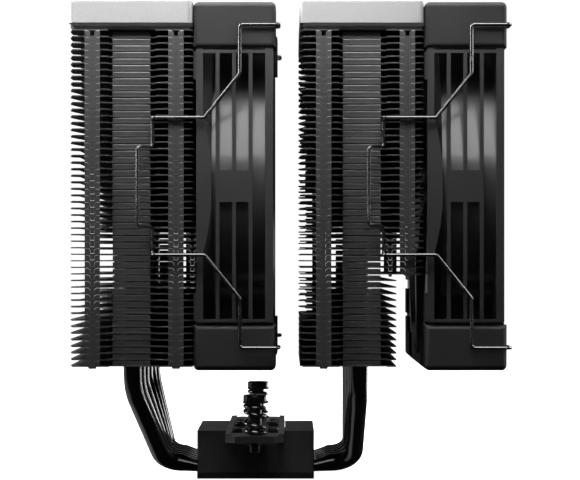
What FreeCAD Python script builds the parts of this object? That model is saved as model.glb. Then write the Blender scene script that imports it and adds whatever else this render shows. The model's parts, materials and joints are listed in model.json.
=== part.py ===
import FreeCAD, Part
import math
import os

# Dual-tower processor cooler. Millimetres, +Z up. The origin is the centre of the cold
# plate's contact face. Air flows towards -X: each fan stands on the +X side of its tower.

V = FreeCAD.Vector
X_AXIS = V(1, 0, 0)
Y_AXIS = V(0, 1, 0)
Z_AXIS = V(0, 0, 1)

# Base
BASE_X = 40.0
BASE_Y = 47.0
PLATE_T = 2.1
BASE_TOP = 16.4
BASE_CHAMFER = 0.5

# Heat pipes: round in the legs, flattened where the base holds them
PIPE_R = 3.0
PIPE_COUNT = 6
PIPE_FLAT_H = 4.2
PIPE_FLAT_W = 6.6
PIPE_BASE_PITCH = 7.1
PIPE_TOWER_Y = (-50.0, -30.0, -10.0, 10.0, 30.0, 50.0)
PIPE_FLAT_END = 20.8
PIPE_ROUND_END = 25.4
PIPE_AXIS_Z = PLATE_T + PIPE_R
PIPE_KNEE_Z = 32.0
PIPE_KNEE_R = 12.0
PIPE_BEND_R = 8.0
PIPE_TOP_Z = 150.2
PIPE_TIP_H = 1.3
PIPE_TIP_R = 1.3
REAR_PIPE_X = -40.1
REAR_BEND_X = -31.6
FRONT_PIPE_X = 34.5
FRONT_BEND_X = 33.6

# Towers
REAR_X = -40.0
FRONT_X = 35.2
FIN_T = 0.4
FIN_PITCH = 2.145
FIN_COUNT = 52
FIN_Z0 = 40.0
FIN_TOP = FIN_Z0 + (FIN_COUNT - 1) * FIN_PITCH + FIN_T
FIN_REAR = -20.25
FIN_FRONT = 20.1
FIN_FRONT_SHORT = 11.2
SHORT_FINS = 14
FIN_HALF_Y = 60.2
FIN_CORNER = (-19.05, 53.0)
RECESS_Y = 57.15
RECESS_REAR = -7.5
RECESS_FRONT = 8.1
PIPE_HOLE_GAP = 0.02

# Interlocking tabs of the fins, closed into columns on the sides of each tower
TAB_X = (-12.5, 14.7)
TAB_HALF = 2.475
TAB_FACE_Y = 60.5
TAB_T = 0.4
TAB_H = FIN_PITCH - 0.03
LOCK_HALF = 1.42
LOCK_NECK = 0.68
LOCK_FUNNEL = 0.55
LOCK_DEPTH = 1.7
LOCK_GAP = 0.05
END_TONGUE = 0.6
WALL_HALF = 6.15
WALL_Y = 57.0
WALL_H = FIN_PITCH - 0.25
WALL_BEVEL = 0.26
TAB_BEVEL = 0.16

# Exhaust edges of the fins, from the top of the tower down: (fins, shape)
EDGE_BANDS = ((9, "stepped"), (9, "slanted"), (26, "shelf"), (8, "straight"))
EDGE_STEP = 2.4
EDGE_DEEP = 6.5

# Top covers
TRAY_Z0 = FIN_TOP + 0.05
TRAY_Z1 = 151.9
TRAY_CHAMFER = 1.05
COVER_Z0 = 152.0
COVER_Z1 = 159.1
COVER_HALF_Y = 60.2
COVER_CORNER_R = 1.6
COVER_EDGE_R = 0.5
COVER_WALL = 1.4
SEAM_X = 18.6
SEAM_W = 0.3
SEAM_DEPTH = 0.35
MAGNET_R = 3.0
MAGNET_H = 1.2
MAGNET_X = 14.5
MAGNET_Y = 52.0

# Mounting bar and its screws
BAR_HALF_X = 9.85
BAR_HALF_Y = 46.5
BAR_Z0 = 14.0
BAR_FLOOR = 16.3
BAR_TOP = 16.9
BAR_RIM = 1.9
BAR_CUT = 3.3
BAR_GROOVE_GAP = 0.15
BAR_SLOT_X = 6.1
BAR_SLOT_R = 1.75
BAR_SLOT_Y = (14.0, 30.0)
BAR_SCREW_X = 5.5
BAR_SCREW_R = 1.5
BAR_SCREW_HEAD_R = 2.2
BAR_SCREW_HEAD_H = 1.6
BAR_SCREW_LENGTH = 5.0
SCREW_Y = 40.0
SCREW_HEAD_R = 3.9
SCREW_HEAD_Z0 = 27.6
SCREW_TOP = 29.8
SCREW_SHANK_R = 2.3
SCREW_HOLE_R = 2.38
SCREW_CLIP_Z = (13.0, 13.6)
SCREW_CLIP_NECK_R = 1.5
SCREW_TIP_R = 1.75
SCREW_TIP_Z = 10.6
WASHER_R = 4.0
WASHER_T = 0.6
WASHER_GAP = 0.05
SPRING_WIRE_R = 0.7
SPRING_R = 3.25
SPRING_TURNS = 3.0
SPRING_GAP = 0.02

# Fans
REAR_FAN_X = -19.65
FRONT_FAN_X = 55.55
FAN_Z = 98.8
FAN_HALF = 60.0
FAN_DEPTH = 25.0
PAD_FACE_T = 0.9
PAD_SIDE_T = 1.3
PAD_INNER = 45.15
PAD_ROUND = 1.7
FAN_TOTAL = FAN_DEPTH + 2 * PAD_FACE_T
DUCT_R = 57.4
DUCT_OUTER_R = 59.2
FLARE_R = 66.8
FLARE_END = (4.9, 60.3)
GROOVE = (4.9, 5.4, 58.4)
FLANGE_T = (2.2, 2.6)
PANEL_HALF = 44.3
PANEL_T = 1.6
SLOT_HALF = 43.3
SLOT_W = 4.1
RIB_W = 1.27
SLOT_COUNT = 4
BOSS_HALF_X = 5.9
BOSS_HALF_Z = 5.2
HOLE_OFFSET = 52.5
HOLE_R = 2.15
LUG_R = 4.2
STRUT_COUNT = 4
STRUT_W = 3.4
STRUT_H = 3.6
MOTOR_R = 21.0
MOTOR_FLOOR_T = 1.6
BEARING_TUBE_R = 4.2
BEARING_R = 2.9
BEARING_BORE_R = 1.54
SHAFT_R = 1.5
HUB_R = 20.5
HUB_WALL = 1.3
HUB_X = (6.8, 24.8)
BLADE_COUNT = 9
BLADE_TIP_R = 56.4
CUP_R = 19.15
MAGNET_RING_R = (16.6, 18.3)
CORE_R = 16.0

# Wire clips
WIRE_R = 0.6
CLIP_FRONT_GAP = 0.95
CLIP_SIDE_Y = 61.5
CLIP_TAIL = 3.0
CLIP_ELBOW_BACK = 11.7
CLIP_ELBOW_Z = 36.5
CLIP_REACH_BACK = 23.1
CLIP_REACH_Z = 22.3
CLIP_HOOK_X = 7.0
CLIP_HOOK_Y = 58.9
CLIP_TAB_X = 2.2
CLIP_TAB_Y = 60.7
CLIP_TAB_Z = 12.9
CLIP_BEND_R = 1.2


def box(x0, x1, y0, y1, z0, z1):
    return Part.makeBox(x1 - x0, y1 - y0, z1 - z0, V(x0, y0, z0))


def rod(radius, start, axis, length):
    return Part.makeCylinder(radius, length, start, axis)


def tube(outer, inner, start, axis, length):
    return rod(outer, start, axis, length).cut(rod(inner, start, axis, length))


def prism(points, sweep):
    return Part.Face(Part.makePolygon(points + points[:1])).extrude(sweep)


def spun(shape, centre, axis, count):
    """Copies of a shape, evenly spaced about an axis."""
    copies = []
    for index in range(count):
        turned = shape.copy()
        turned.rotate(centre, axis, 360.0 * index / count)
        copies.append(turned)
    return copies


def mirrored_y(shape):
    return shape.mirror(V(0, 0, 0), Y_AXIS)


def save(name, shape):
    solids = shape.Solids
    kept = solids[0] if len(solids) == 1 else Part.makeCompound(solids)
    if not kept.isValid():
        print("invalid", name)
    kept.exportStep("parts/%s.step" % name)
    print("%-26s %3d solids %10.1f mm3" % (name, len(solids), kept.Volume))


def rounded_path(points, radii):
    """Straight runs through the points, with a tangent arc of the given radius at each corner."""
    edges = []
    start = points[0]
    for index in range(1, len(points) - 1):
        corner = points[index]
        back = (points[index - 1] - corner).normalize()
        ahead = (points[index + 1] - corner).normalize()
        half_turn = (math.pi - back.getAngle(ahead)) / 2
        reach = radii[index - 1] * math.tan(half_turn)
        entry = corner + back * reach
        leave = corner + ahead * reach
        inward = (back + ahead).normalize()
        middle = corner + inward * radii[index - 1] * (1 / math.cos(half_turn) - 1)
        if (entry - start).Length > 1e-6:
            edges.append(Part.LineSegment(start, entry).toShape())
        edges.append(Part.Arc(entry, middle, leave).toShape())
        start = leave
    edges.append(Part.LineSegment(start, points[-1]).toShape())
    return Part.Wire(edges)


def swept_rod(points, radii, radius):
    path = rounded_path(points, radii)
    direction = points[1] - points[0]
    profile = Part.Wire(Part.makeCircle(radius, points[0], direction))
    return path.makePipeShell([profile], True, False)


# ---- Base -------------------------------------------------------------------------------

def cold_plate():
    plate = box(-BASE_X / 2, BASE_X / 2, -BASE_Y / 2, BASE_Y / 2, 0, PLATE_T)
    upright = [e for e in plate.Edges if abs(e.tangentAt(e.FirstParameter).z) > 0.9]
    return plate.makeChamfer(BASE_CHAMFER, upright)


def flat_pipe_section(x, y):
    """Flattened pipe outline: two flats joined by half rounds, resting on the cold plate."""
    round_r = PIPE_FLAT_H / 2
    flat = PIPE_FLAT_W / 2 - round_r
    low = PLATE_T
    mid = low + round_r
    high = low + PIPE_FLAT_H
    right = Part.Arc(V(x, y + flat, low), V(x, y + flat + round_r, mid), V(x, y + flat, high))
    left = Part.Arc(V(x, y - flat, high), V(x, y - flat - round_r, mid), V(x, y - flat, low))
    top = Part.LineSegment(V(x, y + flat, high), V(x, y - flat, high))
    bottom = Part.LineSegment(V(x, y - flat, low), V(x, y + flat, low))
    return Part.Wire([c.toShape() for c in (right, top, left, bottom)])


def round_pipe_section(x, y):
    """Round pipe outline cut into four arcs that meet the four edges of the flat one."""
    angles = [-70.0, 70.0, 110.0, 250.0, 290.0]
    edges = []
    for start, end in zip(angles, angles[1:]):
        turn = [math.radians(a) for a in (start, (start + end) / 2, end)]
        p = [V(x, y + PIPE_R * math.cos(a), PIPE_AXIS_Z + PIPE_R * math.sin(a)) for a in turn]
        edges.append(Part.Arc(*p).toShape())
    return Part.Wire(edges)


def base_block():
    block = box(-BASE_X / 2, BASE_X / 2, -BASE_Y / 2, BASE_Y / 2, PLATE_T, BASE_TOP)
    upright = [e for e in block.Edges if abs(e.tangentAt(e.FirstParameter).z) > 0.9]
    block = block.makeChamfer(BASE_CHAMFER, upright)
    groove_half = BAR_HALF_X + BAR_GROOVE_GAP
    cuts = [box(-groove_half, groove_half, -BASE_Y, BASE_Y, BAR_Z0, BASE_TOP + 1)]
    for index in range(PIPE_COUNT):
        section = Part.Face(flat_pipe_section(-BASE_X, pipe_base_y(index)))
        cuts.append(section.extrude(X_AXIS * 2 * BASE_X))
    for x in (-BAR_SCREW_X, BAR_SCREW_X):
        cuts.append(rod(BAR_SCREW_R, V(x, 0, BAR_FLOOR - BAR_SCREW_LENGTH), Z_AXIS, BAR_SCREW_LENGTH))
    return block.cut(cuts)


def pipe_base_y(index):
    return (index - (PIPE_COUNT - 1) / 2) * PIPE_BASE_PITCH


def pipe_leg(y_tower, y_base, x_tower, x_bend):
    """One leg, from the tapered tip in a tower down to the base."""
    inner_x = math.copysign(PIPE_ROUND_END, x_bend)
    points = [
        V(x_tower, y_tower, PIPE_TOP_Z),
        V(x_tower, y_tower, PIPE_KNEE_Z),
        V(x_bend, y_base, PIPE_AXIS_Z),
        V(inner_x, y_base, PIPE_AXIS_Z),
    ]
    corner = points[2]
    slope = (points[1] - corner).getAngle(points[3] - corner)
    bend_r = min(PIPE_BEND_R, abs(x_bend - inner_x) / math.tan((math.pi - slope) / 2) - 0.05)
    leg = swept_rod(points, [PIPE_KNEE_R, bend_r], PIPE_R)
    tip = Part.makeCone(PIPE_R, PIPE_TIP_R, PIPE_TIP_H, points[0], Z_AXIS)
    flat_x = math.copysign(PIPE_FLAT_END, x_bend)
    sections = [round_pipe_section(inner_x, y_base), flat_pipe_section(flat_x, y_base)]
    throat = Part.makeLoft(sections, True, True)
    return [leg, tip, throat]


def heat_pipe(index):
    y_tower = PIPE_TOWER_Y[index]
    y_base = pipe_base_y(index)
    rear = pipe_leg(y_tower, y_base, REAR_PIPE_X, REAR_BEND_X)
    front = pipe_leg(y_tower, y_base, FRONT_PIPE_X, FRONT_BEND_X)
    middle = Part.Face(flat_pipe_section(-PIPE_FLAT_END, y_base)).extrude(X_AXIS * 2 * PIPE_FLAT_END)
    return middle.fuse(rear + front)


# ---- Fin towers -------------------------------------------------------------------------

def exhaust_edge(kind):
    """Exhaust edge from the side corner to the tower's middle, as (x, y)."""
    step = FIN_REAR + EDGE_STEP
    deep = FIN_REAR + EDGE_DEEP
    shapes = {
        "stepped": [(FIN_REAR, 45), (step, 43.5), (step, 38.5), (deep, 34), (deep, 6), (step, 0)],
        "slanted": [(FIN_REAR, 50), (deep + 0.5, 12), (deep + 0.5, 4), (step, 0)],
        "shelf": [(FIN_REAR, 48.5), (step, 46.5), (step, 20), (deep, 14), (deep, 0)],
        "straight": [(FIN_REAR, 0)],
    }
    return shapes[kind]


def fin_outline(kind, front):
    """Half of the fin's outline, front to exhaust edge, then its mirror image."""
    half = [(front, FIN_HALF_Y - 1.2), (front - 1.0, FIN_HALF_Y)]
    half += [(RECESS_FRONT, FIN_HALF_Y), (RECESS_FRONT, RECESS_Y)]
    half += [(RECESS_REAR + 0.5, RECESS_Y), (RECESS_REAR, FIN_HALF_Y)]
    half += [(FIN_CORNER[0], FIN_HALF_Y), (FIN_REAR, FIN_CORNER[1])]
    half += exhaust_edge(kind)
    other = [(x, -y) for x, y in reversed(half) if y > 0]
    return [V(x, y, 0) for x, y in half + other]


def tab(x, end_fin):
    """Upright tab with a funnel-shaped slot above and the tongue that fills one below."""
    top = TAB_H
    right = [(TAB_HALF, 0), (TAB_HALF, top), (LOCK_HALF, top), (LOCK_NECK, top - LOCK_FUNNEL)]
    right += [(LOCK_NECK, top - LOCK_DEPTH)]
    wide = LOCK_HALF - LOCK_GAP
    neck = LOCK_NECK - LOCK_GAP
    if end_fin:
        tongue = [(wide, 0), (wide - 0.2, -END_TONGUE)]
    else:
        tongue = [(wide, 0), (neck, -LOCK_FUNNEL), (neck, LOCK_GAP - LOCK_DEPTH)]
    outline = list(reversed(tongue)) + right
    outline += [(-px, pz) for px, pz in reversed(right)] + [(-px, pz) for px, pz in tongue]
    points = [V(x + px, TAB_FACE_Y - TAB_T, pz) for px, pz in outline]
    return bevelled_top(prism(points, V(0, TAB_T, 0)), TAB_FACE_Y, top, TAB_BEVEL)


def pipe_holes(pipe_x, z0, height):
    return [rod(PIPE_R + PIPE_HOLE_GAP, V(pipe_x, y, z0), Z_AXIS, height) for y in PIPE_TOWER_Y]


def bevelled_top(fold, face_y, top, width):
    """Breaks the outer top edges of an upright fold."""
    edges = [e for e in fold.Edges if all(abs(v.Y - face_y) + abs(v.Z - top) < 1e-6 for v in e.Vertexes)]
    return fold.makeChamfer(width, edges)


def fin(kind, front, pipe_x, tabbed=True, end_fin=False):
    """One fin about its tower's centre, its underside at z = 0."""
    plate = Part.Face(Part.makePolygon(fin_outline(kind, front) + fin_outline(kind, front)[:1]))
    plate = plate.extrude(Z_AXIS * FIN_T)
    plate = plate.cut(pipe_holes(pipe_x, -1, 3))
    if not tabbed:
        return plate
    columns = [x for x in TAB_X if x + TAB_HALF < front]
    folds = [tab(x, end_fin) for x in columns]
    wall = box(-WALL_HALF, WALL_HALF, WALL_Y - TAB_T, WALL_Y, 0, WALL_H)
    folds.append(bevelled_top(wall, WALL_Y, WALL_H, WALL_BEVEL))
    folds += [mirrored_y(fold) for fold in folds]
    return plate.fuse(folds).removeSplitter()


def band_of(level):
    """Shape of the exhaust edge of the fin at a level counted from the bottom."""
    from_top = FIN_COUNT - 1 - level
    for count, kind in EDGE_BANDS:
        if from_top < count:
            return kind
        from_top -= count
    return EDGE_BANDS[-1][1]


def fin_stack(centre_x, pipe_x, levels, front):
    patterns = {}
    fins = []
    for level in levels:
        key = (band_of(level), level < FIN_COUNT - 1, level == 0)
        if key not in patterns:
            patterns[key] = fin(key[0], front, pipe_x - centre_x, key[1], key[2])
        fins.append(patterns[key].translated(V(centre_x, 0, FIN_Z0 + level * FIN_PITCH)))
    return Part.makeCompound(fins)


# ---- Top covers -------------------------------------------------------------------------

def corner_magnets(centre_x, z0):
    places = [(x, y) for x in (-MAGNET_X, MAGNET_X) for y in (-MAGNET_Y, MAGNET_Y)]
    return [rod(MAGNET_R, V(centre_x + x, y, z0), Z_AXIS, MAGNET_H) for x, y in places]


def cover_tray(centre_x, pipe_x):
    """Fixed tray on the top fin, with cut corners and a chamfered lower edge."""
    rear, front = centre_x + FIN_REAR, centre_x + FIN_FRONT
    cut_x, cut_y = centre_x + FIN_CORNER[0], FIN_CORNER[1]
    half = [(front, FIN_HALF_Y), (cut_x, FIN_HALF_Y), (rear, cut_y)]
    corners = half + [(x, -y) for x, y in reversed(half)]
    tray = prism([V(x, y, TRAY_Z0) for x, y in corners], Z_AXIS * (TRAY_Z1 - TRAY_Z0))
    low = [e for e in tray.Edges if all(abs(v.Z - TRAY_Z0) < 1e-6 for v in e.Vertexes)]
    tray = tray.makeChamfer(TRAY_CHAMFER, low)
    holes = pipe_holes(pipe_x, TRAY_Z0 - 1, TRAY_Z1 - TRAY_Z0 + 2)
    return tray.cut(holes + corner_magnets(centre_x, TRAY_Z1 - MAGNET_H))


def cover_block(centre_x, inset, z0, z1, corner_r):
    x0 = centre_x + FIN_REAR + inset
    x1 = centre_x + FIN_FRONT - inset
    half_y = COVER_HALF_Y - inset
    block = box(x0, x1, -half_y, half_y, z0, z1)
    upright = [e for e in block.Edges if abs(e.tangentAt(e.FirstParameter).z) > 0.9]
    return block.makeFillet(corner_r, upright)


def top_cover(centre_x):
    """Satin metal cap, open below, with a thin seam round it near the fan side."""
    cap = cover_block(centre_x, 0, COVER_Z0, COVER_Z1, COVER_CORNER_R)
    rim = [e for e in cap.Edges if all(abs(v.Z - COVER_Z1) < 1e-6 for v in e.Vertexes)]
    cap = cap.makeFillet(COVER_EDGE_R, rim)
    hollow = cover_block(centre_x, COVER_WALL, COVER_Z0 - 1, COVER_Z1 - COVER_WALL, COVER_CORNER_R / 2)
    x = centre_x + SEAM_X
    band = box(x, x + SEAM_W, -COVER_HALF_Y - 1, COVER_HALF_Y + 1, COVER_Z0 - 1, COVER_Z1 + 1)
    core_y = COVER_HALF_Y - SEAM_DEPTH
    band = band.cut(box(x, x + SEAM_W, -core_y, core_y, COVER_Z0 - 1, COVER_Z1 - SEAM_DEPTH))
    return cap.cut([hollow, band])


def cover_carrier(centre_x):
    """Moulded plate that fills the cap and holds its magnets and the room for the pipe tips."""
    inset = COVER_WALL + 0.02
    plate = cover_block(centre_x, inset, COVER_Z0, COVER_Z1 - COVER_WALL - 0.02, COVER_CORNER_R / 2)
    return plate.cut(corner_magnets(centre_x, COVER_Z0))


# ---- Mounting bar -----------------------------------------------------------------------

def mounting_bar():
    cut_x = BAR_HALF_X - BAR_CUT
    cut_y = BAR_HALF_Y - BAR_CUT
    half = [(BAR_HALF_X, cut_y), (cut_x, BAR_HALF_Y), (-cut_x, BAR_HALF_Y), (-BAR_HALF_X, cut_y)]
    outline = [V(x, y, BAR_Z0) for x, y in half] + [V(-x, -y, BAR_Z0) for x, y in half]
    bar = prism(outline, Z_AXIS * (BAR_TOP - BAR_Z0))
    floor_x = BAR_HALF_X - BAR_RIM
    cuts = [box(-floor_x, floor_x, -BAR_HALF_Y, BAR_HALF_Y, BAR_FLOOR, BAR_TOP + 1)]
    for x in (-BAR_SCREW_X, BAR_SCREW_X):
        cuts.append(rod(BAR_SCREW_R + 0.1, V(x, 0, BAR_Z0), Z_AXIS, 5))
    for side in (-1, 1):
        cuts.append(rod(SCREW_HOLE_R, V(0, side * SCREW_Y, BAR_Z0 - 1), Z_AXIS, 6))
        for x in (-BAR_SLOT_X, BAR_SLOT_X):
            cuts.append(slot_cut(x, side * BAR_SLOT_Y[0], side * BAR_SLOT_Y[1]))
    return bar.cut(cuts)


def slot_cut(x, y0, y1):
    low, high = min(y0, y1), max(y0, y1)
    ends = [rod(BAR_SLOT_R, V(x, y, BAR_Z0 - 1), Z_AXIS, 6) for y in (low, high)]
    middle = box(x - BAR_SLOT_R, x + BAR_SLOT_R, low, high, BAR_Z0 - 1, BAR_Z0 + 5)
    return middle.fuse(ends)


def cross_recess(x, y, top, width, depth):
    arms = [box(x - width, x + width, y - 0.45, y + 0.45, top - depth, top + 1)]
    arms.append(box(x - 0.45, x + 0.45, y - width, y + width, top - depth, top + 1))
    return arms


def bar_screws():
    screws = []
    for x in (-BAR_SCREW_X, BAR_SCREW_X):
        head = rod(BAR_SCREW_HEAD_R, V(x, 0, BAR_FLOOR), Z_AXIS, BAR_SCREW_HEAD_H)
        head = head.makeChamfer(0.4, [head.Edges[0]])
        shank = rod(BAR_SCREW_R, V(x, 0, BAR_FLOOR - BAR_SCREW_LENGTH), Z_AXIS, BAR_SCREW_LENGTH)
        top = BAR_FLOOR + BAR_SCREW_HEAD_H
        screws.append(head.fuse(shank).cut(cross_recess(x, 0, top, 1.3, 0.9)))
    return Part.makeCompound(screws)


def mount_screw(y):
    """Captive spring screw: domed head, plain shank, neck for the retaining clip, threaded tip."""
    head = rod(SCREW_HEAD_R, V(0, y, SCREW_HEAD_Z0), Z_AXIS, SCREW_TOP - SCREW_HEAD_Z0)
    head = head.makeFillet(0.7, [head.Edges[0]])
    low, high = SCREW_CLIP_Z
    shank = rod(SCREW_SHANK_R, V(0, y, high), Z_AXIS, SCREW_HEAD_Z0 - high)
    neck = rod(SCREW_CLIP_NECK_R, V(0, y, low), Z_AXIS, high - low)
    tip = rod(SCREW_TIP_R, V(0, y, SCREW_TIP_Z), Z_AXIS, low - SCREW_TIP_Z)
    screw = head.fuse([shank, neck, tip])
    return screw.cut(cross_recess(0, y, SCREW_TOP, 2.2, 1.4))


def retaining_clip(y):
    """E-shaped clip in the screw's neck, its mouth and two prongs facing outwards."""
    low, high = SCREW_CLIP_Z
    side = math.copysign(1, y)
    ring = rod(3.2, V(0, y, low + 0.02), Z_AXIS, high - low - 0.04)
    mouth = box(-1.1, 1.1, min(y, y + side * 6), max(y, y + side * 6), low - 1, high + 1)
    bore = rod(SCREW_CLIP_NECK_R + 0.02, V(0, y, low - 1), Z_AXIS, 3)
    clip = ring.cut([mouth, bore])
    for x in (-2.2, 1.1):
        near, far = sorted((y + side * 2.2, y + side * 4.2))
        clip = clip.fuse(box(x, x + 1.1, near, far, low + 0.02, high - 0.02))
    return clip.removeSplitter()


def spring_washer(y):
    z0 = SCREW_HEAD_Z0 - WASHER_GAP - WASHER_T
    return tube(WASHER_R, SCREW_SHANK_R + 0.1, V(0, y, z0), Z_AXIS, WASHER_T)


def screw_spring(y):
    z0 = BAR_FLOOR + SPRING_WIRE_R + SPRING_GAP
    z1 = SCREW_HEAD_Z0 - WASHER_GAP - WASHER_T - SPRING_WIRE_R - SPRING_GAP
    helix = Part.makeHelix((z1 - z0) / SPRING_TURNS, z1 - z0, SPRING_R)
    start = V(SPRING_R, 0, 0)
    profile = Part.Wire(Part.makeCircle(SPRING_WIRE_R, start, Y_AXIS))
    coil = Part.Wire(helix.Edges).makePipeShell([profile], True, True)
    return coil.translated(V(0, y, z0))


# ---- Fans -------------------------------------------------------------------------------

def at_fan(x, y, z):
    """Point given from the fan's axis."""
    return V(x, y, FAN_Z + z)


def turned_about_fan(shape, angle):
    copy = shape.copy()
    copy.rotate(at_fan(0, 0, 0), X_AXIS, angle)
    return copy


def side_panel(x0):
    """Slotted side wall on the fan's -Y side, with a plain raised boss over its middle."""
    face = FAN_HALF
    panel = box(x0, x0 + FAN_DEPTH, -face, PANEL_T - face, FAN_Z - PANEL_HALF, FAN_Z + PANEL_HALF)
    span = SLOT_COUNT * SLOT_W + (SLOT_COUNT - 1) * RIB_W
    first = x0 + FLANGE_T[0]
    slots = []
    for index in range(SLOT_COUNT):
        left = first + index * (SLOT_W + RIB_W)
        slots.append(box(left, left + SLOT_W, -face - 1, 1 - face + PANEL_T, FAN_Z - SLOT_HALF, FAN_Z + SLOT_HALF))
    mid = first + span / 2
    low, high = FAN_Z - BOSS_HALF_Z, FAN_Z + BOSS_HALF_Z
    boss = box(mid - BOSS_HALF_X, mid + BOSS_HALF_X, -face, PANEL_T - face, low, high)
    return panel.cut(slots).fuse(boss)


def duct_outside(x0):
    """Round duct as a full body: a flare behind the tower-side flange, a groove, then a cylinder."""
    groove_x0, groove_x1, groove_r = GROOVE
    profile = [(0, 0), (0, FLARE_R), FLARE_END, (groove_x0, groove_r), (groove_x1, groove_r)]
    profile += [(groove_x1, DUCT_OUTER_R), (FAN_DEPTH, DUCT_OUTER_R), (FAN_DEPTH, 0)]
    points = [at_fan(x0 + x, 0, r) for x, r in profile]
    face = Part.Face(Part.makePolygon(points + points[:1]))
    whole = face.revolve(at_fan(x0, 0, 0), X_AXIS, 360)
    square = box(x0, x0 + FAN_DEPTH, -FAN_HALF, FAN_HALF, FAN_Z - FAN_HALF, FAN_Z + FAN_HALF)
    return whole.common(square)


def fan_frame(x0):
    """Square frame: two flanges, round duct, slotted sides, corner lugs, motor floor, struts."""
    x0 = x0 + PAD_FACE_T
    x1 = x0 + FAN_DEPTH
    centre = at_fan(x0, 0, 0)
    flanges = []
    for left, width in ((x0, FLANGE_T[0]), (x1 - FLANGE_T[1], FLANGE_T[1])):
        flanges.append(box(left, left + width, -FAN_HALF, FAN_HALF, FAN_Z - FAN_HALF, FAN_Z + FAN_HALF))
    panels = [turned_about_fan(side_panel(x0), 90 * turn) for turn in range(4)]
    duct = duct_outside(x0)
    lug = rod(LUG_R, at_fan(x0, HOLE_OFFSET, HOLE_OFFSET), X_AXIS, FAN_DEPTH)
    body = duct.fuse(flanges + panels + spun(lug, centre, X_AXIS, 4))
    side = FAN_HALF - PAD_SIDE_T
    corner = box(x0 - 1, x1 + 1, side, FAN_HALF + 1, FAN_Z + PANEL_HALF, FAN_Z + FAN_HALF + 1)
    corner = corner.fuse(mirrored_diagonal(corner))
    bore = rod(HOLE_R, at_fan(x0 - 1, HOLE_OFFSET, HOLE_OFFSET), X_AXIS, FAN_DEPTH + 2)
    lead_notch = box(x0 - 1, x0 + 3.2, FAN_HALF - 4, FAN_HALF + 1, FAN_Z - 40, FAN_Z - 35)
    cuts = spun(corner, centre, X_AXIS, 4) + spun(bore, centre, X_AXIS, 4)
    cuts += [rod(DUCT_R, at_fan(x0 - 1, 0, 0), X_AXIS, FAN_DEPTH + 2), lead_notch]
    return body.cut(cuts).fuse(motor_mount(x0)).removeSplitter()


def mirrored_diagonal(shape):
    """The same cut on the corner's other outer side."""
    return shape.mirror(at_fan(0, 0, 0), V(0, 1, -1))


def motor_mount(x0):
    """Motor floor and bearing tube, held in the duct by slanted struts."""
    centre = at_fan(x0, 0, 0)
    floor = rod(MOTOR_R, centre, X_AXIS, MOTOR_FLOOR_T)
    rim = tube(MOTOR_R, MOTOR_R - 1.2, centre, X_AXIS, 4.6)
    post = rod(BEARING_TUBE_R, centre, X_AXIS, 15.5)
    strut = box(x0, x0 + STRUT_H, -STRUT_W / 2 - 8, STRUT_W / 2 - 8, FAN_Z + MOTOR_R - 4, FAN_Z + DUCT_R + 1.2)
    strut.rotate(at_fan(x0, -8, MOTOR_R - 4), X_AXIS, -8)
    mount = floor.fuse([rim, post] + spun(strut, centre, X_AXIS, STRUT_COUNT))
    well = rod(BEARING_R + 0.01, at_fan(x0 + MOTOR_FLOOR_T, 0, 0), X_AXIS, 20)
    return mount.cut(well)


def corner_pads(x0):
    """Four rubber boots that wrap the frame's corners and stand proud of both faces."""
    outer = box(x0, x0 + FAN_TOTAL, PAD_INNER, FAN_HALF, FAN_Z + PAD_INNER, FAN_Z + FAN_HALF)
    rim = [e for e in outer.Edges if touches_outside(e)]
    outer = outer.makeFillet(PAD_ROUND, rim)
    side = FAN_HALF - PAD_SIDE_T
    core = box(x0 + PAD_FACE_T, x0 + PAD_FACE_T + FAN_DEPTH, PAD_INNER - 1, side, FAN_Z + PAD_INNER - 1, FAN_Z + side)
    bore = rod(HOLE_R, at_fan(x0 - 1, HOLE_OFFSET, HOLE_OFFSET), X_AXIS, FAN_TOTAL + 2)
    boot = outer.cut([core, bore])
    arm = box(x0, x0 + PAD_FACE_T, 50.5, FAN_HALF - 0.8, FAN_Z + 34.8, FAN_Z + 43.9)
    bridge = box(x0 + 0.55, x0 + PAD_FACE_T, 53.0, 57.5, FAN_Z + 43.5, FAN_Z + PAD_INNER + 0.5)
    arms = [arm, bridge, mirrored_diagonal(arm), mirrored_diagonal(bridge)]
    boot = boot.fuse(arms).removeSplitter()
    return Part.makeCompound(spun(boot, at_fan(x0, 0, 0), X_AXIS, 4))


def touches_outside(edge):
    """Edges of the corner block that lie on one of its two outer sides."""
    on_y = all(abs(v.Y - FAN_HALF) < 1e-6 for v in edge.Vertexes)
    on_z = all(abs(v.Z - FAN_Z - FAN_HALF) < 1e-6 for v in edge.Vertexes)
    return on_y or on_z


def blade_section(x_mid, radius, sweep, half_chord, pitch, thickness, camber):
    """Thin cambered section at one radius, in the plane square to that radius."""
    slope = math.radians(pitch)
    along = V(math.sin(slope), -math.cos(slope), 0)
    across = V(math.cos(slope), math.sin(slope), 0)
    middle = V(x_mid, sweep, FAN_Z + radius)
    lead = middle + along * half_chord
    trail = middle - along * half_chord
    outer = middle + across * (camber + thickness / 2)
    inner = middle + across * (camber - thickness / 2)
    edge = across * (thickness * 0.3)
    upper = Part.Arc(trail + edge, outer, lead + edge).toShape()
    nose = Part.LineSegment(lead + edge, lead - edge).toShape()
    lower = Part.Arc(lead - edge, inner, trail - edge).toShape()
    tail = Part.LineSegment(trail - edge, trail + edge).toShape()
    return Part.Wire([upper, nose, lower, tail])


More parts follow.
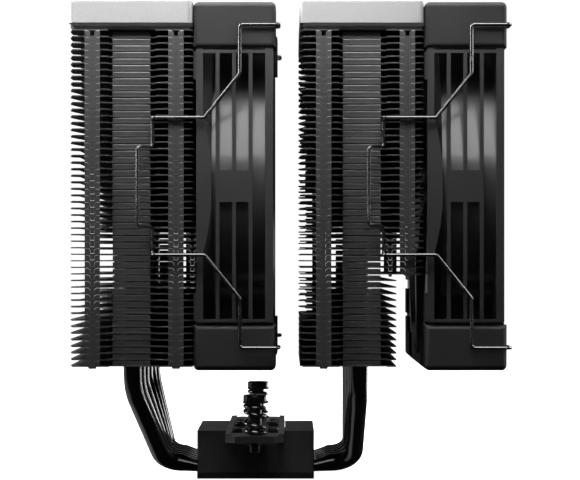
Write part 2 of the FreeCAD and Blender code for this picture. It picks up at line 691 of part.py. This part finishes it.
def impeller(x0):
    """Hub cup, open towards the motor, with swept and twisted blades."""
    hub_x0, hub_x1 = x0 + HUB_X[0], x0 + HUB_X[1]
    length = hub_x1 - hub_x0
    hub = rod(HUB_R, at_fan(hub_x0, 0, 0), X_AXIS, length)
    hub = hub.makeFillet(1.5, [e for e in hub.Edges if abs(e.Vertexes[0].X - hub_x1) < 1e-6][:1])
    inside = rod(HUB_R - HUB_WALL, at_fan(hub_x0 - 1, 0, 0), X_AXIS, length - HUB_WALL)
    boss = rod(3.6, at_fan(hub_x1 - HUB_WALL - 3.2, 0, 0), X_AXIS, 3.4)
    mid = (hub_x0 + hub_x1) / 2
    sections = [
        blade_section(mid, 18.0, 0.0, 11.0, 52, 2.2, 2.0),
        blade_section(mid, 36.0, 2.5, 14.5, 38, 1.8, 2.6),
        blade_section(mid, 58.0, 9.0, 18.5, 27, 1.3, 2.4),
    ]
    blade = Part.makeLoft(sections, True, False)
    reach = tube(BLADE_TIP_R, HUB_R - HUB_WALL / 2, at_fan(hub_x0 - 3, 0, 0), X_AXIS, length + 6)
    blade = blade.common(reach)
    blades = spun(blade, at_fan(x0, 0, 0), X_AXIS, BLADE_COUNT)
    shell = hub.cut(inside).fuse([boss] + blades)
    return shell.cut(rod(SHAFT_R, at_fan(hub_x0, 0, 0), X_AXIS, length - 0.8))


def rotor_cup(x0):
    z = at_fan(x0 + HUB_X[0] + 0.4, 0, 0)
    return tube(CUP_R, MAGNET_RING_R[1], z, X_AXIS, 14.5)


def rotor_magnet(x0):
    return tube(MAGNET_RING_R[1], MAGNET_RING_R[0], at_fan(x0 + HUB_X[0] + 0.8, 0, 0), X_AXIS, 10.5)


def shaft(x0):
    start = x0 + 3.4
    rodded = rod(SHAFT_R, at_fan(start, 0, 0), X_AXIS, x0 + HUB_X[1] - 0.8 - start)
    groove = tube(SHAFT_R + 1, SHAFT_R - 0.3, at_fan(start + 0.7, 0, 0), X_AXIS, 0.5)
    return rodded.cut(groove)


def shaft_ring(x0):
    return tube(2.4, SHAFT_R - 0.28, at_fan(x0 + 4.15, 0, 0), X_AXIS, 0.4)


def bearing(x0):
    return tube(BEARING_R, BEARING_BORE_R, at_fan(x0 + 4.8, 0, 0), X_AXIS, 11.4)


def stator_core(x0):
    """Laminated four-pole core on the bearing tube."""
    centre = at_fan(x0 + 10.4, 0, 0)
    height = 4.6
    ring = rod(7.0, centre, X_AXIS, height)
    arm = box(x0 + 10.4, x0 + 10.4 + height, -2.0, 2.0, FAN_Z + 6, FAN_Z + 14.5)
    shoe = tube(CORE_R, CORE_R - 2.0, centre, X_AXIS, height)
    wedge = box(x0 + 10, x0 + 16, -9.0, 9.0, FAN_Z + 11, FAN_Z + 17)
    pole = arm.fuse(shoe.common(wedge))
    core = ring.fuse(spun(pole, centre, X_AXIS, 4))
    return core.cut(rod(BEARING_TUBE_R, centre, X_AXIS, height)).removeSplitter()


def stator_coils(x0):
    """Four windings, one round each arm of the core."""
    outer = box(x0 + 8.8, x0 + 16.6, -3.9, 3.9, FAN_Z + 7.5, FAN_Z + 13.2)
    hole = box(x0 + 10.38, x0 + 15.02, -2.02, 2.02, FAN_Z + 7, FAN_Z + 14)
    coil = outer.makeFillet(1.2, [e for e in outer.Edges if abs(e.tangentAt(0).z) > 0.9]).cut(hole)
    return Part.makeCompound(spun(coil, at_fan(x0, 0, 0), X_AXIS, 4))


def circuit_board(x0):
    board = tube(15.0, BEARING_TUBE_R + 0.02, at_fan(x0 + 6.9, 0, 0), X_AXIS, 1.2)
    chips = [
        box(x0 + 5.9, x0 + 6.9, -3, 3, FAN_Z + 7.5, FAN_Z + 11),
        box(x0 + 5.9, x0 + 6.9, 6, 11, FAN_Z - 4, FAN_Z + 1),
    ]
    return board.fuse(chips)


def hub_badge(x0):
    return rod(15.0, at_fan(x0 + HUB_X[1], 0, 0), X_AXIS, 0.3)


def wire_clip(x0, centre_x, side):
    """Spring wire: two tails in the frame's holes, two hooks in the fins' recess, one pull loop."""
    face = x0 + FAN_TOTAL
    front = face + CLIP_FRONT_GAP
    half = [
        (front - CLIP_TAIL, HOLE_OFFSET, HOLE_OFFSET),
        (front, HOLE_OFFSET, HOLE_OFFSET),
        (front, CLIP_SIDE_Y, HOLE_OFFSET),
        (face - CLIP_ELBOW_BACK, CLIP_SIDE_Y, HOLE_OFFSET),
        (face - CLIP_ELBOW_BACK, CLIP_SIDE_Y, CLIP_ELBOW_Z),
        (face - CLIP_REACH_BACK, CLIP_SIDE_Y, CLIP_REACH_Z),
        (centre_x + CLIP_HOOK_X, CLIP_SIDE_Y, CLIP_REACH_Z),
        (centre_x + CLIP_HOOK_X, CLIP_HOOK_Y, CLIP_REACH_Z),
        (centre_x + CLIP_HOOK_X, CLIP_HOOK_Y, CLIP_TAB_Z),
        (centre_x + CLIP_TAB_X, CLIP_TAB_Y, CLIP_TAB_Z),
    ]
    lower = [(x, y, -z) for x, y, z in reversed(half)]
    points = [at_fan(x, side * y, z) for x, y, z in half + lower]
    return swept_rod(points, [CLIP_BEND_R] * (len(points) - 2), WIRE_R)


def main():
    os.makedirs("parts", exist_ok=True)
    save("cold_plate", cold_plate())
    save("base_block", base_block())
    for index in range(PIPE_COUNT):
        save("heat_pipe_%d" % (index + 1), heat_pipe(index))

    save("rear_fin_stack", fin_stack(REAR_X, REAR_PIPE_X, range(FIN_COUNT), FIN_FRONT))
    full = range(SHORT_FINS, FIN_COUNT)
    save("front_fin_stack", fin_stack(FRONT_X, FRONT_PIPE_X, full, FIN_FRONT))
    short = range(SHORT_FINS)
    save("front_fin_stack_lower", fin_stack(FRONT_X, FRONT_PIPE_X, short, FIN_FRONT_SHORT))

    save("mounting_bar", mounting_bar())
    save("bar_screws", bar_screws())
    for name, y in (("left", -SCREW_Y), ("right", SCREW_Y)):
        save(name + "_mount_screw", mount_screw(y))
        save(name + "_retaining_clip", retaining_clip(y))
        save(name + "_spring_washer", spring_washer(y))
        save(name + "_screw_spring", screw_spring(y))

    tray_magnets = []
    towers = (("rear", REAR_X, REAR_PIPE_X, REAR_FAN_X), ("front", FRONT_X, FRONT_PIPE_X, FRONT_FAN_X))
    for name, centre_x, pipe_x, fan_x in towers:
        save(name + "_cover_tray", cover_tray(centre_x, pipe_x))
        tray_magnets += corner_magnets(centre_x, TRAY_Z1 - MAGNET_H)
        save(name + "_top_cover", top_cover(centre_x))
        save(name + "_cover_carrier", cover_carrier(centre_x))
        save(name + "_cover_magnets", Part.makeCompound(corner_magnets(centre_x, COVER_Z0)))
        pieces = {
            "fan_frame": fan_frame, "corner_pads": corner_pads, "impeller": impeller,
            "rotor_cup": rotor_cup, "rotor_magnet": rotor_magnet, "shaft": shaft,
            "shaft_ring": shaft_ring, "bearing": bearing, "stator_core": stator_core,
            "stator_coils": stator_coils, "circuit_board": circuit_board, "hub_badge": hub_badge,
        }
        for piece, make in pieces.items():
            save("%s_%s" % (name, piece), make(fan_x))
        save(name + "_left_clip", wire_clip(fan_x, centre_x, -1))
        save(name + "_right_clip", wire_clip(fan_x, centre_x, 1))
    save("tray_magnets", Part.makeCompound(tray_magnets))


main()
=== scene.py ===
import json
import math

import bmesh
import bpy
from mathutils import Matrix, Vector

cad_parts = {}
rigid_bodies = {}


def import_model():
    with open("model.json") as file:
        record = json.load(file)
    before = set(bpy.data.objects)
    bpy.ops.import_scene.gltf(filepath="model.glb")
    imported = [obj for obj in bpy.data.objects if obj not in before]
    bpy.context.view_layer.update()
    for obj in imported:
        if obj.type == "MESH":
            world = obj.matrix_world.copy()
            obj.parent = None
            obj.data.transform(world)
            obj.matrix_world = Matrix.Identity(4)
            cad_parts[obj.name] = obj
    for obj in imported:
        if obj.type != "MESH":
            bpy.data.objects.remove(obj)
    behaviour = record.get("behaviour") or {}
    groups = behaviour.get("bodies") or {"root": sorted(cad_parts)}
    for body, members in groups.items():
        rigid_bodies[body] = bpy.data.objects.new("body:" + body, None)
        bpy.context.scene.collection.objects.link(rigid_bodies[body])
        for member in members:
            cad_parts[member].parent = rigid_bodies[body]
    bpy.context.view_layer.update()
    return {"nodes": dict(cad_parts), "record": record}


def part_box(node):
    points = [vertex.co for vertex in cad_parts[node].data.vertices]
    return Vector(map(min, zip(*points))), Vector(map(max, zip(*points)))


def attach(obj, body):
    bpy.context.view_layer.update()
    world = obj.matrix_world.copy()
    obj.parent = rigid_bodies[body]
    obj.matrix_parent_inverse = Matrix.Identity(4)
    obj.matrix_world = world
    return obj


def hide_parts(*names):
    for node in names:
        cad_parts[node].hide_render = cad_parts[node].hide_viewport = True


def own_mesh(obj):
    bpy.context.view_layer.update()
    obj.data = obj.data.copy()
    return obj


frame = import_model()

MM = 0.001
SIDES = ("left", "right")


# ---- Shader helpers ---------------------------------------------------------------------

class Shader:
    """A Principled material with short ways to drive its colour, roughness and bump."""

    def __init__(self, name, **values):
        self.mat = bpy.data.materials.new(name)
        self.mat.use_nodes = True
        self.nodes = self.mat.node_tree.nodes
        self.links = self.mat.node_tree.links
        self.bsdf = self.nodes["Principled BSDF"]
        for socket, value in values.items():
            self.bsdf.inputs[socket.replace("_", " ")].default_value = value
        self.place = self.nodes.new("ShaderNodeTexCoord").outputs["Object"]

    def stretch(self, x, y, z):
        """Object coordinates scaled by these cells per metre."""
        mapping = self.nodes.new("ShaderNodeMapping")
        mapping.inputs["Scale"].default_value = (x, y, z)
        self.links.new(self.place, mapping.inputs["Vector"])
        return mapping.outputs["Vector"]

    def noise(self, scale, detail=3.0, rough=0.55):
        """scale is cells per metre, or three of them for a stretched grain."""
        node = self.nodes.new("ShaderNodeTexNoise")
        node.inputs["Detail"].default_value = detail
        node.inputs["Roughness"].default_value = rough
        if isinstance(scale, tuple):
            node.inputs["Scale"].default_value = 1.0
            self.links.new(self.stretch(*scale), node.inputs["Vector"])
        else:
            node.inputs["Scale"].default_value = scale
            self.links.new(self.place, node.inputs["Vector"])
        return node.outputs["Fac"]

    def ramp(self, factor, stops):
        node = self.nodes.new("ShaderNodeValToRGB")
        while len(node.color_ramp.elements) < len(stops):
            node.color_ramp.elements.new(0.5)
        for element, (place, shade) in zip(node.color_ramp.elements, stops):
            element.position = place
            element.color = (*shade, 1.0)
        self.links.new(factor, node.inputs["Fac"])
        return node.outputs["Color"]

    def mottle(self, factor, shade, vary, start=0.3, tint=0.0):
        """Shade that varies by this share either way, across the factor's middle stretch."""
        low, high = grey(shade * (1 - vary), tint), grey(shade * (1 + vary), tint)
        return self.ramp(factor, [(start, low), (1 - start, high)])

    def spread(self, factor, low, high, start=0.3, end=0.7):
        node = self.nodes.new("ShaderNodeMapRange")
        values = {"From Min": start, "From Max": end, "To Min": low, "To Max": high}
        for socket, value in values.items():
            node.inputs[socket].default_value = value
        self.links.new(factor, node.inputs["Value"])
        return node.outputs["Result"]

    def slope(self):
        """Vertical part of the face's normal: 1 faces up, 0 is upright, -1 faces down."""
        facing = self.nodes.new("ShaderNodeNewGeometry").outputs["True Normal"]
        axes = self.nodes.new("ShaderNodeSeparateXYZ")
        self.links.new(facing, axes.inputs["Vector"])
        return axes.outputs["Z"]

    def upward(self, none, full, flat):
        """1 on faces that slope upwards, 0 on upright and on flat ones."""
        black, white = grey(0.0), grey(1.0)
        stops = [(none, black), (full, white), (flat, white), (flat + 0.05, black)]
        return self.ramp(self.slope(), stops)

    def blend(self, factor, first, second):
        node = self.nodes.new("ShaderNodeMixRGB")
        self.links.new(factor, node.inputs["Fac"])
        self.links.new(first, node.inputs["Color1"])
        self.links.new(second, node.inputs["Color2"])
        return node.outputs["Color"]

    def colour(self, output):
        self.links.new(output, self.bsdf.inputs["Base Color"])

    def roughness(self, output):
        self.links.new(output, self.bsdf.inputs["Roughness"])

    def bump(self, height, strength, distance):
        node = self.nodes.new("ShaderNodeBump")
        node.inputs["Strength"].default_value = strength
        node.inputs["Distance"].default_value = distance
        self.links.new(height, node.inputs["Height"])
        self.links.new(node.outputs["Normal"], self.bsdf.inputs["Normal"])


def grey(value, tint=0.0):
    """Neutral shade; a positive tint warms it."""
    return (value * (1 + tint), value, value * (1 - tint))


# ---- Materials ---------------------------------------------------------------------------

CLOUDS = 140                       # cells per metre
UNEVEN_GLOSS = 420
UNEVEN_POLISH = 260
SHEET_GRAIN = (300, 300, 2500)
MOULD_RELIEF = 0.00006             # metres
METAL_RELIEF = 0.00003


def moulded(name, shade, rough, grain=2600, bump=0.25, specular=0.4, cloud=0.12, edge_highlight=1.0):
    """Moulded plastic or rubber: fine grain, slight cloudiness, upper edges lighter by a factor as
    a painted highlight.
    """
    s = Shader(name, Specular_IOR_Level=specular)
    clouds = s.noise(CLOUDS)
    face = s.mottle(clouds, shade, cloud, start=0.35)
    # Painted highlight: faces that slope upwards are lightened by this factor in place of light
    # from above.
    if edge_highlight > 1.0:
        painted_highlight = s.mottle(clouds, shade * edge_highlight, 0.1, start=0.35)
        face = s.blend(s.upward(0.10, 0.55, 0.90), face, painted_highlight)
    s.colour(face)
    s.roughness(s.spread(s.noise(UNEVEN_GLOSS), rough - cloud * 0.4, rough + cloud * 0.4))
    s.bump(s.noise(grain, 2.0, 0.7), bump, MOULD_RELIEF)
    return s.mat


def metal(name, shade, rough, metallic=1.0, grain=(900, 900, 900), bump=0.1, tint=0.0, spread=0.05):
    """Plated or coated metal: a grain that may be stretched, and uneven polish."""
    s = Shader(name, Metallic=metallic, Specular_IOR_Level=0.5)
    s.colour(s.mottle(s.noise(grain), shade, 0.1, tint=tint))
    s.roughness(s.spread(s.noise(UNEVEN_POLISH), max(0.03, rough - spread), rough + spread))
    s.bump(s.noise(grain, 4.0, 0.6), bump, METAL_RELIEF)
    return s.mat


def coated_sheet(name, shade, edge_highlight_shade, rough, specular):
    """Thin matt coating on pressed sheet, with a painted highlight on the upward-sloping faces of
    its upper edges.
    """
    s = Shader(name, Specular_IOR_Level=specular)
    grain = s.noise(SHEET_GRAIN)
    face = s.mottle(grain, shade, 0.1)
    # Painted highlight: upward-sloping bevels take the lighter shade in place of the top light they
    # catch.
    edge_highlight = s.mottle(grain, edge_highlight_shade, 0.15)
    s.colour(s.blend(s.upward(0.35, 0.55, 0.90), face, edge_highlight))
    s.roughness(s.spread(s.noise(UNEVEN_POLISH), rough - 0.04, rough + 0.04))
    s.bump(s.noise(SHEET_GRAIN, 4.0, 0.6), 0.06, METAL_RELIEF)
    return s.mat


def tray_with_painted_highlight(name, side_shade, chamfer_highlight_shade, rough):
    """Moulded tray with a dark side and a chamfer under it, painted paler as a painted highlight.
    """
    s = Shader(name, Specular_IOR_Level=0.4)
    clouds = s.noise(CLOUDS)
    side = s.mottle(clouds, side_shade, 0.1, start=0.35)
    chamfer = s.mottle(clouds, chamfer_highlight_shade, 0.1, start=0.35)
    # Painted highlight: faces that slope downwards get the paler shade although little light
    # reaches them.
    downward = s.spread(s.slope(), 1.0, 0.0, -0.6, -0.2)
    s.colour(s.blend(downward, side, chamfer))
    s.roughness(s.spread(s.noise(UNEVEN_GLOSS), rough - 0.05, rough + 0.05))
    s.bump(s.noise(2600, 2.0, 0.7), 0.1, MOULD_RELIEF)
    return s.mat


def make_materials():
    return {
        "nickel_plate": metal("nickel_plate", 0.10, 0.30, 1.0, (60, 4200, 60), 0.25, 0.02),
        "black_metal": metal("black_metal", 0.075, 0.52, 0.10, (700, 700, 700), 0.12),
        # bar_black: the second shade is a painted highlight on upward-sloping edges.
        "bar_black": coated_sheet("bar_black", 0.052, 0.26, 0.42, 0.5),
        "black_steel": metal("black_steel", 0.09, 0.24, 0.85, (1200, 1200, 500), 0.10),
        "bright_steel": metal("bright_steel", 0.60, 0.26, 1.0, (400, 400, 2600), 0.10),
        "spring_steel": metal("spring_steel", 0.24, 0.20, 1.0, (1500, 1500, 1500), 0.08),
        # fin_black: the second shade is a painted highlight on the upward-sloping fold edges.
        "fin_black": coated_sheet("fin_black", 0.050, 0.36, 0.50, 0.12),
        "pipe_black": metal("pipe_black", 0.065, 0.17, 0.70, (350, 350, 60), 0.03, 0.0, 0.03),
        # tray_plastic: the second shade is a painted highlight on the downward-facing chamfer.
        "tray_plastic": tray_with_painted_highlight("tray_plastic", 0.014, 0.155, 0.50),
        "cover_silver": metal("cover_silver", 0.335, 0.45, 0.25, (3800, 3800, 3800), 0.16, 0.006),
        "frame_plastic": moulded("frame_plastic", 0.042, 0.25, 1200, 0.01, 1.0, 0.02),
        # pad_rubber: the last value paints a highlight on the pads' upward-sloping edges.
        "pad_rubber": moulded("pad_rubber", 0.025, 0.62, 1900, 0.10, 0.3, 0.05, 2.6),
        "blade_plastic": moulded("blade_plastic", 0.034, 0.32, 1200, 0.02, 0.4, 0.03),
        "magnet_rubber": moulded("magnet_rubber", 0.045, 0.7),
        "bearing_bronze": metal("bearing_bronze", 0.42, 0.35, 1.0, (3000, 3000, 3000), 0.3, 0.35),
        "core_steel": metal("core_steel", 0.30, 0.45, 1.0, (6000, 60, 60), 0.5),
        "copper_wire": metal("copper_wire", 0.42, 0.30, 1.0, (100, 2600, 2600), 0.6, 0.55),
        "board_green": moulded("board_green", 0.08, 0.35),
        "badge_satin": metal("badge_satin", 0.10, 0.33, 0.6, (900, 900, 900), 0.08),
        "clip_wire": metal("clip_wire", 0.28, 0.24, 1.0, (900, 900, 900), 0.06),
    }


def dress(obj, material):
    obj.data.materials.clear()
    obj.data.materials.append(material)


# ---- Finish of the CAD nodes -------------------------------------------------------------

BEVELS = {                         # node name contains: (width in mm, segments)
    "fin_stack": (0.07, 1),
    "cold_plate": (0.12, 1),
    "base_block": (0.30, 3),
    "mounting_bar": (0.20, 2),
    "fan_frame": (0.22, 2),
    "corner_pads": (0.12, 1),
    "cover_tray": (0.15, 2),
    "top_cover": (0.08, 2),
}
SHARP = math.radians(35)           # edges that turn by more are broken
SAME_POINT = 1e-6                  # metres
FACE_WEIGHT = 60                   # how far large faces rule the shading


def finish_edges(obj, width_mm, segments):
    """Break the sharp edges and shade the rest smooth."""
    weld = obj.modifiers.new("weld", "WELD")
    weld.merge_threshold = SAME_POINT
    bevel = obj.modifiers.new("edge_break", "BEVEL")
    bevel.width = width_mm * MM
    bevel.segments = segments
    bevel.limit_method = "ANGLE"
    bevel.angle_limit = SHARP
    bevel.use_clamp_overlap = True
    even = obj.modifiers.new("even_shading", "WEIGHTED_NORMAL")
    even.mode = "FACE_AREA"
    even.weight = FACE_WEIGHT
    even.keep_sharp = True


def dress_cad(materials):
    for entry in frame["record"]["subparts"]:
        node = frame["nodes"][entry["node"]]
        dress(node, materials[entry["material_slot"]])
        for part, (width, segments) in BEVELS.items():
            if part in entry["node"]:
                finish_edges(node, width, segments)


# ---- Screw springs -----------------------------------------------------------------------

SPRING_TURNS = 3.7
CLOSED_TURNS = 0.8
EASE_TURNS = 0.4
FIRST_FRONT_TURN = 0.3       # turns from the wire's lower end to where it first faces the front
SPRING_WIRE_R = 0.7 * MM
CLOSED_PITCH = 2.04 * SPRING_WIRE_R
SPRING_SEGMENTS = 44
SPRING_SIDES = 14


def smooth(value):
    value = min(1.0, max(0.0, value))
    return value * value * (3 - 2 * value)


def spring_heights(count, length):
    """Height of each point: closed turns at both ends and open, evenly pitched turns between."""
    openness = []
    for index in range(count):
        turn = SPRING_TURNS * (index + 0.5) / count
        from_end = min(turn, SPRING_TURNS - turn)
        openness.append(smooth((from_end - CLOSED_TURNS) / EASE_TURNS))
    step = SPRING_TURNS / count
    extra = (length - CLOSED_PITCH * SPRING_TURNS) / (sum(openness) * step)
    heights = [0.0]
    for share in openness:
        heights.append(heights[-1] + (CLOSED_PITCH + extra * share) * step)
    return heights


def spring_mesh(name, low, high):
    """Left-handed coil of round wire that fills the CAD spring's box."""
    centre = (low + high) / 2
    radius = (high.x - low.x) / 2 - SPRING_WIRE_R
    count = round(SPRING_TURNS * SPRING_SEGMENTS)
    heights = spring_heights(count, high.z - low.z - 2 * SPRING_WIRE_R)
    mesh = bmesh.new()
    rings = []
    for index, height in enumerate(heights):
        turn = SPRING_TURNS * index / count
        angle = -math.pi / 2 - 2 * math.pi * (turn - FIRST_FRONT_TURN)
        outward = Vector((math.cos(angle), math.sin(angle), 0))
        middle = Vector((centre.x, centre.y, low.z + SPRING_WIRE_R + height)) + outward * radius
        ring = []
        for side in range(SPRING_SIDES):
            roll = 2 * math.pi * side / SPRING_SIDES
            offset = outward * math.cos(roll) + Vector((0, 0, math.sin(roll)))
            ring.append(mesh.verts.new(middle + offset * SPRING_WIRE_R))
        rings.append(ring)
    for first, second in zip(rings, rings[1:]):
        for side in range(SPRING_SIDES):
            after = (side + 1) % SPRING_SIDES
            mesh.faces.new((first[side], first[after], second[after], second[side]))
    mesh.faces.new(rings[0][::-1])
    mesh.faces.new(rings[-1])
    bmesh.ops.recalc_face_normals(mesh, faces=mesh.faces)
    for face in mesh.faces:
        face.smooth = len(face.verts) == 4
    data = bpy.data.meshes.new(name)
    mesh.to_mesh(data)
    mesh.free()
    return data


def add_springs(materials):
    for side in SIDES:
        node = side + "_screw_spring"
        low, high = (Vector(corner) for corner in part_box(node))
        name = side + "_coil_spring"
        spring = bpy.data.objects.new(name, spring_mesh(name, low, high))
        bpy.context.scene.collection.objects.link(spring)
        dress(spring, materials["spring_steel"])
        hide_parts(node)
        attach(spring, "heatsink")
        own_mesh(spring)


# ---- Stage -------------------------------------------------------------------------------

SENSOR_WIDTH = 36.0                # mm
FOCAL_LENGTH = 135.1862            # mm
CAMERA_PLACE = (0.01143, -0.768, 0.0751)
SHIFT_X = 0.0017
SHIFT_Y = 0.0328
WORLD = 0.012
FLOOR_Z = -0.0002
FLOOR_HALF = 3.0
WALL_PLACE = 2.9
WALL_BASE = -0.1
WALL_TOP = 3.0
MIDDLE = (0, 0, 0.08)

LAMPS = [                          # name, place, aimed at, size, power, part of the shading
    ("front_strip", (-0.045, -0.098, 0.190), (-0.045, -0.098, 0), (0.24, 0.03), 0.36, "diffuse"),
    ("gloss_card", (0.03, -0.72, 0.66), (0.03, 0, 0.10), (0.6, 0.6), 4.0, "gloss"),
    ("right_card", (1.25, 1.05, 0.50), (0, 0, 0), (1.2, 2.0), 44.0, "gloss"),
    ("left_card", (-1.2, 0.7, -0.70), (0, 0, 0), (2.2, 2.2), 7.5, "gloss"),
    ("horizon_card", (-0.5, 2.4, 0.30), (0, 0, 0.02), (1.6, 0.6), 1.0, "gloss"),
    ("front_top", (-0.15, -0.40, 0.75), MIDDLE, (0.5, 0.3), 0.4, "both"),
    ("front_fill", (-0.05, -0.9, 0.35), MIDDLE, (0.4, 0.4), 0.1, "diffuse"),
    ("back_soft", (-0.12, 0.55, 0.47), MIDDLE, (0.7, 0.4), 2.0, "diffuse"),
    ("exhaust_soft", (-0.60, 0.05, 0.40), MIDDLE, (0.4, 0.6), 11.0, "both"),
    ("intake_soft", (0.65, 0.05, 0.40), MIDDLE, (0.4, 0.6), 5.5, "both"),
]
SIDE_CARDS = ("right_card", "left_card")


def add_camera():
    data = bpy.data.cameras.new("camera")
    data.sensor_fit = "HORIZONTAL"
    data.sensor_width = SENSOR_WIDTH
    data.lens = FOCAL_LENGTH
    data.shift_x = SHIFT_X
    data.shift_y = SHIFT_Y
    data.clip_start = 0.01
    camera = bpy.data.objects.new("camera", data)
    camera.location = CAMERA_PLACE
    camera.rotation_euler = (math.radians(90), 0, 0)
    bpy.context.scene.collection.objects.link(camera)
    bpy.context.scene.camera = camera


def add_area(name, place, target, size, power, seen_by):
    """Area lamp; seen_by limits it to the diffuse or the gloss part of the shading."""
    data = bpy.data.lights.new(name, "AREA")
    data.shape = "RECTANGLE"
    data.size, data.size_y = size
    data.energy = power
    lamp = bpy.data.objects.new(name, data)
    lamp.location = place
    lamp.rotation_euler = (Vector(target) - Vector(place)).to_track_quat("-Z", "Y").to_euler()
    lamp.visible_camera = False
    lamp.visible_diffuse = seen_by != "gloss"
    lamp.visible_glossy = seen_by != "diffuse"
    bpy.context.scene.collection.objects.link(lamp)
    return lamp


def light_only_round_metal(lamp):
    """Let a lamp show in the pipes, screws and springs and leave the rest alone."""
    group = bpy.data.collections.new(lamp.name + "_pieces")
    for name, piece in frame["nodes"].items():
        if "pipe" in name or "_screw" in name:
            group.objects.link(piece)
    for side in SIDES:
        group.objects.link(bpy.data.objects[side + "_coil_spring"])
    lamp.light_linking.receiver_collection = group


def stage_plane(name, corners, shade):
    """Evenly bright plane behind or under the object that casts no light or shade on it."""
    mesh = bpy.data.meshes.new(name)
    mesh.from_pydata([Vector(c) for c in corners], [], [tuple(range(len(corners)))])
    obj = bpy.data.objects.new(name, mesh)
    bpy.context.scene.collection.objects.link(obj)
    s = Shader(name + "_paint", Roughness=0.9, Specular_IOR_Level=0.1)
    s.colour(s.ramp(s.noise(8), [(0.4, grey(shade * 0.99)), (0.6, grey(shade))]))
    s.bsdf.inputs["Emission Color"].default_value = (1, 1, 1, 1)
    s.bsdf.inputs["Emission Strength"].default_value = 1.0
    obj.data.materials.append(s.mat)
    obj.visible_diffuse = False
    obj.visible_glossy = False
    obj.visible_shadow = False


def square(half):
    return [(-half, -half), (half, -half), (half, half), (-half, half)]


def add_backdrop():
    stage_plane("floor", [(x, y, FLOOR_Z) for x, y in square(FLOOR_HALF)], 0.85)
    corners = square(WALL_PLACE)
    for index, (x0, y0) in enumerate(corners):
        x1, y1 = corners[(index + 1) % 4]
        wall = [(x0, y0, WALL_BASE), (x1, y1, WALL_BASE), (x1, y1, WALL_TOP), (x0, y0, WALL_TOP)]
        stage_plane("backdrop_%d" % (index + 1), wall, 0.9)


def add_light():
    world = bpy.data.worlds.new("studio")
    world.use_nodes = True
    background = world.node_tree.nodes["Background"]
    background.inputs["Color"].default_value = (1, 1, 1, 1)
    background.inputs["Strength"].default_value = WORLD
    bpy.context.scene.world = world
    bpy.context.scene.view_settings.view_transform = "Standard"
    for entry in LAMPS:
        lamp = add_area(*entry)
        if entry[0] in SIDE_CARDS:
            light_only_round_metal(lamp)


# ---- Assembly ----------------------------------------------------------------------------

materials = make_materials()
dress_cad(materials)
add_springs(materials)
add_camera()
add_backdrop()
add_light()
